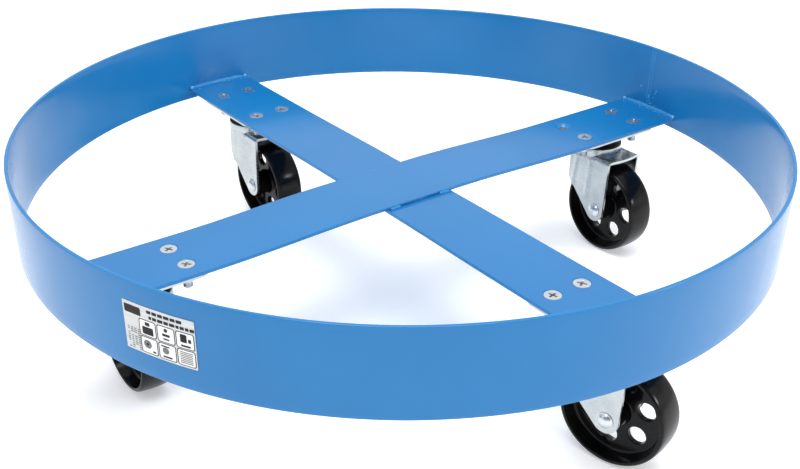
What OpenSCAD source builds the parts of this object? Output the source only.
// Drum dolly: a rolled ring, two crossed flat bars and four bolted swivel casters.
// The origin is on the floor under the ring's centre, +Z is up, and the upper bar lies along X.
// Casters are numbered anticlockwise from the one on +X: 1 on +X, 2 on +Y, 3 on -X, 4 on -Y.

/* [Ring] */
// Outer diameter of the ring
ring_d = 650; // [600:5:760]
// Height of the ring's strip
ring_h = 72; // [50:1:100]
// Thickness of the ring's strip
ring_t = 3; // [2:0.5:4]

/* [Cross bars] */
// Width of each flat bar
bar_w = 69; // [62:1:90]
// Thickness of each flat bar
bar_t = 3; // [3:0.5:4]
// Height of the bar ends above the ring's lower edge
bar_lift = 8; // [4:1:20]
// Rise of the lower bar's middle above its ends
lower_bow = 1; // [0:0.5:3]

/* [Casters] */
// Height of the bar ends' underside above the floor
caster_h = 120; // [120:1:140]
// Distance of each kingpin from the ring's centre
caster_r = 249; // [225:1:250]
// Hole spacing of the top plate along the bar
bolt_along = 67; // [64:1:70]
// Hole spacing of the top plate across the bar
bolt_across = 30; // [26:1:34]
// Horizontal distance from the kingpin to the axle
trail = 26; // [20:1:28]
// Direction in which each caster trails at rest
rest_yaw = [-90, -90, 88, -75]; // [-180:1:180]

/* [Wheels] */
// Outer diameter of a wheel
wheel_d = 89; // [75:1:90]
// Width of a wheel across its tread
wheel_w = 28; // [22:1:30]
// Number of round holes in a wheel's web
web_holes = 6; // [4:1:6]
// Diameter of the holes in a wheel's web
web_hole_d = 15; // [8:0.5:15]
// Turn of each wheel at rest
wheel_turn = [-3, 48, 0, 19]; // [-180:1:180]

/* [Hidden] */
CASTERS = [1, 2, 3, 4];
CASTER_PIECES = ["screws", "washers", "nuts", "plate", "kingpin", "lower_race", "upper_balls",
    "lower_balls", "fork", "axle_bolt", "axle_nut", "axle_sleeve", "wheel"];
$fn = 96;
eps = 0.1;

// Ring and bars
ring_r = ring_d / 2;
wall_r = ring_r - ring_t;
ring_z = caster_h - bar_lift;
bar_top = caster_h + bar_t;
upper_bow = lower_bow + bar_t;
bar_end_gap = 0.1;
bow_flat = bar_w / 2 + 6;
bow_end = 205;
bow_steps = 16;
seam_az = 0.6;
seam_w = 6;
seam_proud = 0.9;
end_bead_r = 3;
end_bead_half_angle = 5.7;
end_bevel_deep = 1.5;
end_bevel_r = wall_r - end_bead_r - 0.2;
tack_r = 2.2;
tack_l = 11;
tack_x = 26.5;

// Label
label_w = 60;
label_h = 38;
label_t = 0.3;
label_az = -155.6;
label_z = ring_z + 37.5;

// Countersunk M8 screws, washers and nuts
screw_r = 4;
screw_l = 20;
sink_top_r = 7.5;
sink_low_r = sink_top_r - bar_t;
head_sunk = 0.4;
head_play = 0.03;
head_r = sink_top_r - head_sunk - head_play;
cross_w = 1.7;
cross_l = 8;
cross_deep = 1.6;
washer_r = 8;
washer_bore_r = 4.3;
washer_t = 1.6;
nut_flats = 13;
nut_h = 6.5;
thread_play = 0.05;

// Top plate
plate_l = 90;
plate_w = 67;
plate_t = 2.5;
plate_corner = 8;
plate_z = caster_h - plate_t;
bowl_base_r = 24;
bowl_low_r = 20;
bowl_deep = 8;
bowl_z = plate_z - bowl_deep;

// Swivel head, from the crown of the fork to the kingpin
sheet_t = 2.5;
fork_play = 3.5;
cup_z = bowl_z - fork_play;
cup_h = 6;
crown_z = cup_z - cup_h;
cup_top_r = 24.3;
cup_base_r = 25;
cup_bore_r = 18;
kingpin_r = 5;
pin_play = 0.06;
seat_play = 0.02;
upper_ball_r = 2.5;
upper_ball_pitch = 13;
upper_ball_count = 15;
lower_ball_r = 2;
lower_ball_pitch = 10.5;
lower_ball_count = 15;
ball_play = 0.15;
upper_ball_z = (bowl_z + cup_z) / 2;
lower_ball_z = cup_z - sheet_t - 1.3;
race_top = lower_ball_z - 1.3;
race_r = 14;
race_t = 2.5;
pin_head_r = 8.5;
pin_head_h = 3;

// Fork arms, in the caster's own frame: kingpin on Z, axle towards +X
axle_z = wheel_d / 2;
fork_out = 21;
fork_bend = 5;
arm_back = -13;
arm_kink_z = 68.5;
arm_front = 38.5;
tip_r = 11;
crown_bulge = 3;
crown_front = arm_front + crown_bulge;
crown_front_r = (pow(fork_out, 2) + pow(crown_bulge, 2)) / (2 * crown_bulge);
kink_dx = trail - arm_back;
kink_dz = axle_z - arm_kink_z;
kink_d = norm([kink_dx, kink_dz]);
tangent_angle = atan2(kink_dz, kink_dx) - asin(tip_r / kink_d);
tangent_l = sqrt(pow(kink_d, 2) - pow(tip_r, 2));

// Axle and wheel
axle_r = 4;
axle_tail = 9;
dome_r = 7;
dome_h = 4;
sleeve_r = 6;
hub_r = 12;
hub_end_r = 10.5;
hub_gap = 0.5;
web_t = 5;
web_hole_pitch = 24.6;
rim_edge_r = axle_z - 4.5;
rim_root_r = axle_z - 7;
tread_round = 3.2;
tread_crown_r = 90;

function half_turn_ramp(u) = (1 + cos(180 * min(1, max(0, u)))) / 2;
function bow(s, rise) = rise * half_turn_ramp((abs(s) - bow_flat) / (bow_end - bow_flat));
function kingpin_spot(c) = caster_r * [cos(90 * (c - 1)), sin(90 * (c - 1))];
function bolt_spots() = [for (x = [-1, 1], y = [-1, 1]) [x * bolt_along / 2, y * bolt_across / 2]];
// The inner hole on the +Y side of caster 1 has no screw.
function screw_spots(c) = [for (p = bolt_spots()) if (c != 1 || p.x > 0 || p.y < 0) p];

// Places a piece that is bolted to the bar over kingpin c.
module at_bar_end(c) {
    rotate([0, 0, 90 * (c - 1)]) translate([caster_r, 0, 0]) children();
}

// Places a piece that swivels about kingpin c.
module on_swivel(c) {
    translate(kingpin_spot(c)) rotate([0, 0, rest_yaw[c - 1]]) children();
}

// Places a piece that lies along the axle, its own Z towards the caster's -Y side.
module on_axle(c) {
    on_swivel(c) translate([trail, 0, axle_z]) rotate([90, 0, 0]) children();
}

module rounded_rect(l, w, r) {
    square([l - 2 * r, w], center = true);
    square([l, w - 2 * r], center = true);
    for (x = [-1, 1], y = [-1, 1]) translate([x * (l / 2 - r), y * (w / 2 - r)]) circle(r);
}

module tube(outer_r, inner_r, h) {
    difference() {
        cylinder(r = outer_r, h = h);
        translate([0, 0, -eps]) cylinder(r = inner_r, h = h + 2 * eps);
    }
}

module ball_ring(count, pitch, r, z) {
    for (i = [0 : count - 1]) rotate([0, 0, 360 * i / count]) translate([pitch, 0, z]) sphere(r, $fn = 24);
}

module groove(pitch, r, z) {
    rotate_extrude() translate([pitch, z]) circle(r, $fn = 48);
}

module ring() {
    color("steelblue") translate([0, 0, ring_z]) tube(ring_r, wall_r, ring_h);
}

module ring_seam_weld() {
    bead_r = (pow(seam_w / 2, 2) + pow(seam_proud, 2)) / (2 * seam_proud);
    low = bar_top + end_bead_r + eps;
    color("steelblue") intersection() {
        rotate([0, 0, seam_az]) translate([wall_r + bead_r - seam_proud, 0, low])
            cylinder(r = bead_r, h = ring_z + ring_h - low);
        cylinder(r = wall_r, h = ring_z + ring_h);
    }
}

// One flat bar along X, bowed up by rise in the middle, with eight countersunk holes and bevelled ends.
module bar(rise) {
    ramp = [for (i = [0 : bow_steps]) bow_flat + (bow_end - bow_flat) * i / bow_steps];
    left = [for (i = [bow_steps : -1 : 0]) -ramp[i]];
    spots = concat([-ring_r], left, ramp, [ring_r]);
    under = [for (s = spots) [s, caster_h + bow(s, rise)]];
    over = [for (i = [len(spots) - 1 : -1 : 0]) [spots[i], bar_top + bow(spots[i], rise)]];
    difference() {
        intersection() {
            rotate([90, 0, 0]) linear_extrude(bar_w, center = true) polygon(concat(under, over));
            cylinder(r = wall_r - bar_end_gap, h = ring_z + ring_h);
        }
        for (side = [0, 180], p = bolt_spots())
            rotate([0, 0, side]) translate([caster_r + p.x, p.y, caster_h - eps])
                cylinder(r1 = sink_low_r - eps, r2 = sink_top_r + eps, h = bar_t + 2 * eps);
        rotate_extrude() polygon([
            [end_bevel_r, bar_top],
            [wall_r, bar_top - end_bevel_deep],
            [wall_r, bar_top + eps],
            [end_bevel_r, bar_top + eps]]);
    }
}

module upper_bar() {
    color("cornflowerblue") bar(upper_bow);
}

module lower_bar() {
    color("royalblue") rotate([0, 0, 90]) bar(lower_bow);
}

// The beads fill the bevels of the bar ends and stand proud of them against the ring.
module bar_end_welds() {
    color("steelblue") for (c = CASTERS) rotate([0, 0, 90 * (c - 1) - end_bead_half_angle])
        rotate_extrude(angle = 2 * end_bead_half_angle) {
            intersection() {
                translate([wall_r, bar_top]) circle(end_bead_r);
                translate([wall_r - end_bead_r, bar_top]) square(end_bead_r);
            }
            polygon([
                [end_bevel_r, bar_top],
                [wall_r, bar_top - end_bevel_deep],
                [wall_r, bar_top]]);
        }
}

module crossing_welds() {
    color("steelblue") for (turn = [0, 180], x = [-1, 1])
        rotate([0, 0, turn]) translate([x * tack_x - tack_l / 2, bar_w / 2, bar_top + lower_bow])
            rotate([90, 0, 90]) linear_extrude(tack_l) intersection() {
                circle(tack_r);
                square(tack_r);
            }
}

module label() {
    sweep = label_w / ring_r * 180 / PI;
    color("silver") rotate([0, 0, label_az - sweep / 2])
        rotate_extrude(angle = sweep) translate([ring_r, label_z - label_h / 2])
            square([label_t, label_h]);
}

// One countersunk screw, the centre of its head on top at the origin.
module screw() {
    difference() {
        union() {
            translate([0, 0, head_sunk - bar_t])
                cylinder(r1 = head_r - (bar_t - head_sunk), r2 = head_r, h = bar_t - head_sunk);
            translate([0, 0, -screw_l]) cylinder(r = screw_r, h = screw_l - bar_t / 2);
        }
        for (turn = [0, 90]) rotate([0, 0, turn]) translate([0, 0, -cross_deep / 2 + eps])
            cube([cross_l, cross_w, cross_deep + 2 * eps], center = true);
    }
}

module screws(c) {
    color("gainsboro") at_bar_end(c) for (p = screw_spots(c))
        translate([p.x, p.y, bar_top - head_sunk]) rotate([0, 0, 30 + 5 * p.x]) screw();
}

module washers(c) {
    color("silver") at_bar_end(c) for (p = screw_spots(c))
        translate([p.x, p.y, plate_z - washer_t]) tube(washer_r, washer_bore_r, washer_t);
}

module hex_nut() {
    difference() {
        cylinder(d = nut_flats / cos(30), h = nut_h, $fn = 6);
        translate([0, 0, -eps]) cylinder(r = screw_r + thread_play, h = nut_h + 2 * eps);
    }
}

module nuts(c) {
    color("lightgray") at_bar_end(c) for (p = screw_spots(c))
        translate([p.x, p.y, plate_z - washer_t - nut_h]) hex_nut();
}

// The top plate: a rounded rectangle whose middle is pressed down into the upper race.
module plate(c) {
    slope = (bowl_base_r - bowl_low_r) / bowl_deep;
    color("lightsteelblue") at_bar_end(c) difference() {
        union() {
            difference() {
                translate([0, 0, plate_z]) linear_extrude(plate_t) rounded_rect(plate_l, plate_w, plate_corner);
                cylinder(r = bowl_base_r - eps, h = caster_h + eps);
            }
            rotate_extrude() polygon([
                [kingpin_r + seat_play, bowl_z],
                [bowl_low_r, bowl_z],
                [bowl_base_r, plate_z],
                [bowl_base_r, caster_h],
                [bowl_base_r - plate_t + slope * plate_t, caster_h],
                [bowl_low_r - plate_t + slope * plate_t, bowl_z + plate_t],
                [kingpin_r + seat_play, bowl_z + plate_t]]);
        }
        for (p = bolt_spots()) translate([p.x, p.y, plate_z - eps])
            cylinder(r = sink_low_r, h = plate_t + 2 * eps);
        groove(upper_ball_pitch, upper_ball_r + ball_play, upper_ball_z);
    }
}

// The rivet that the fork turns on, with a head under the lower race and one in the plate's bowl.
module kingpin(c) {
    low = race_top - race_t;
    color("gray") on_swivel(c) {
        translate([0, 0, low - pin_head_h]) cylinder(r1 = pin_head_r - 1, r2 = pin_head_r, h = pin_head_h);
        translate([0, 0, low - eps]) cylinder(r = kingpin_r, h = bowl_z + plate_t + 2 * eps - low);
        translate([0, 0, bowl_z + plate_t]) cylinder(r1 = pin_head_r, r2 = pin_head_r - 2, h = pin_head_h);
    }
}

module lower_race(c) {
    color("darkgray") on_swivel(c) difference() {
        translate([0, 0, race_top - race_t]) tube(race_r, kingpin_r + seat_play, race_t);
        groove(lower_ball_pitch, lower_ball_r + ball_play, lower_ball_z);
    }
}

module upper_balls(c) {
    color("white") on_swivel(c)
        ball_ring(upper_ball_count, upper_ball_pitch, upper_ball_r, upper_ball_z - ball_play);
}

module lower_balls(c) {
    color("white") on_swivel(c)
        ball_ring(lower_ball_count, lower_ball_pitch, lower_ball_r, lower_ball_z + ball_play);
}

// Section across the fork: a sheet bent down on both sides.
module fork_section(out, bend, top) {
    translate([-out, 0]) square([2 * out, top - bend]);
    translate([bend - out, 0]) square([2 * (out - bend), top]);
    for (side = [-1, 1]) translate([side * (out - bend), top - bend]) circle(bend);
}

// Side view of the fork: the crown, and one arm that narrows to a rounded tip at the axle.
module fork_side() {
    translate([-fork_out, crown_z - fork_bend - 1]) square([fork_out + crown_front, fork_bend + 2]);
    polygon([
        [arm_back, crown_z - fork_bend],
        [arm_back, arm_kink_z],
        [arm_back + tangent_l * cos(tangent_angle), arm_kink_z + tangent_l * sin(tangent_angle)],
        [trail, axle_z],
        [trail + tip_r, axle_z],
        [arm_front, crown_z - fork_bend]]);
    translate([trail, axle_z]) circle(tip_r);
}

// Top view of the fork: round behind the kingpin, gently rounded in front of the wheel.
module fork_plan() {
    circle(fork_out);
    intersection() {
        translate([arm_back, -fork_out]) square([crown_front - arm_back, 2 * fork_out]);
        translate([crown_front - crown_front_r, 0]) circle(crown_front_r);
    }
}

// The raised cup that carries the balls, on a flange that joins it to the crown and the arms.
module bearing_cup() {
    slope = (cup_base_r - cup_top_r) / cup_h;
    rotate_extrude() polygon([
        [kingpin_r + pin_play, cup_z - sheet_t],
        [cup_top_r - sheet_t + slope * sheet_t, cup_z - sheet_t],
        [cup_base_r - sheet_t, crown_z],
        [cup_bore_r, crown_z],
        [cup_bore_r, crown_z - sheet_t],
        [cup_base_r, crown_z - sheet_t],
        [cup_base_r, crown_z],
        [cup_top_r, cup_z],
        [kingpin_r + pin_play, cup_z]]);
}

module fork(c) {
    color("lightblue") on_swivel(c) difference() {
        union() {
            difference() {
                intersection() {
                    rotate([90, 0, 90]) translate([0, 0, -fork_out]) linear_extrude(fork_out + crown_front)
                        difference() {
                            fork_section(fork_out, fork_bend, crown_z);
                            translate([0, -eps])
                                fork_section(fork_out - sheet_t, fork_bend - sheet_t, crown_z - sheet_t + eps);
                        }
                    rotate([90, 0, 0]) linear_extrude(2 * fork_out + 1, center = true) fork_side();
                    linear_extrude(crown_z + 1) fork_plan();
                }
                translate([0, 0, crown_z - sheet_t - eps])
                    cylinder(r = cup_bore_r + eps, h = sheet_t + 2 * eps);
            }
            bearing_cup();
        }
        translate([trail, 0, axle_z]) rotate([90, 0, 0])
            cylinder(r = axle_r + thread_play, h = 2 * fork_out + 1, center = true);
        groove(upper_ball_pitch, upper_ball_r + ball_play, upper_ball_z);
        groove(lower_ball_pitch, lower_ball_r + ball_play, lower_ball_z);
    }
}

// The axle: a domed head on the caster's -Y side, its tail through the nut on the +Y side.
module axle_bolt(c) {
    ball_r = (pow(dome_r, 2) + pow(dome_h, 2)) / (2 * dome_h);
    color("gainsboro") on_axle(c) {
        translate([0, 0, -fork_out - axle_tail]) cylinder(r = axle_r, h = 2 * fork_out + axle_tail + eps);
        intersection() {
            translate([0, 0, fork_out + dome_h - ball_r]) sphere(ball_r);
            translate([0, 0, fork_out]) cylinder(r = dome_r + 1, h = dome_h + 1);
        }
    }
}

module axle_nut(c) {
    color("lightgray") on_axle(c) translate([0, 0, -fork_out - nut_h]) hex_nut();
}

module axle_sleeve(c) {
    half_l = fork_out - sheet_t;
    color("gray") on_axle(c) translate([0, 0, -half_l]) tube(sleeve_r, axle_r + thread_play, 2 * half_l);
}

// Half section of the wheel, its axle along the section's Y.
module wheel_section() {
    half_w = wheel_w / 2;
    half_hub = fork_out - sheet_t - hub_gap;
    half_web = web_t / 2;
    bore_r = sleeve_r + pin_play;
    intersection() {
        polygon([
            [rim_root_r, -half_web],
            [rim_edge_r, -half_w],
            [axle_z, -half_w],
            [axle_z, half_w],
            [rim_edge_r, half_w],
            [rim_root_r, half_web]]);
        translate([axle_z / 2, 0]) rounded_rect(axle_z, wheel_w, tread_round);
        translate([axle_z - tread_crown_r, 0]) circle(tread_crown_r, $fn = 256);
    }
    translate([hub_end_r, -half_web]) square([rim_root_r + eps - hub_end_r, web_t]);
    polygon([
        [bore_r, -half_hub],
        [hub_end_r, -half_hub],
        [hub_r, -half_web],
        [hub_r, half_web],
        [hub_end_r, half_hub],
        [bore_r, half_hub]]);
}

module wheel(c) {
    color("dimgray") on_axle(c) rotate([0, 0, wheel_turn[c - 1]]) difference() {
        rotate_extrude() wheel_section();
        for (i = [0 : web_holes - 1]) rotate([0, 0, 360 * i / web_holes])
            translate([web_hole_pitch, 0, -web_t]) cylinder(d = web_hole_d, h = 2 * web_t);
    }
}

ring();
ring_seam_weld();
upper_bar();
lower_bar();
bar_end_welds();
crossing_welds();
label();
for (c = CASTERS) {
    screws(c);
    washers(c);
    nuts(c);
    plate(c);
    kingpin(c);
    lower_race(c);
    upper_balls(c);
    lower_balls(c);
    fork(c);
    axle_bolt(c);
    axle_nut(c);
    axle_sleeve(c);
    wheel(c);
}
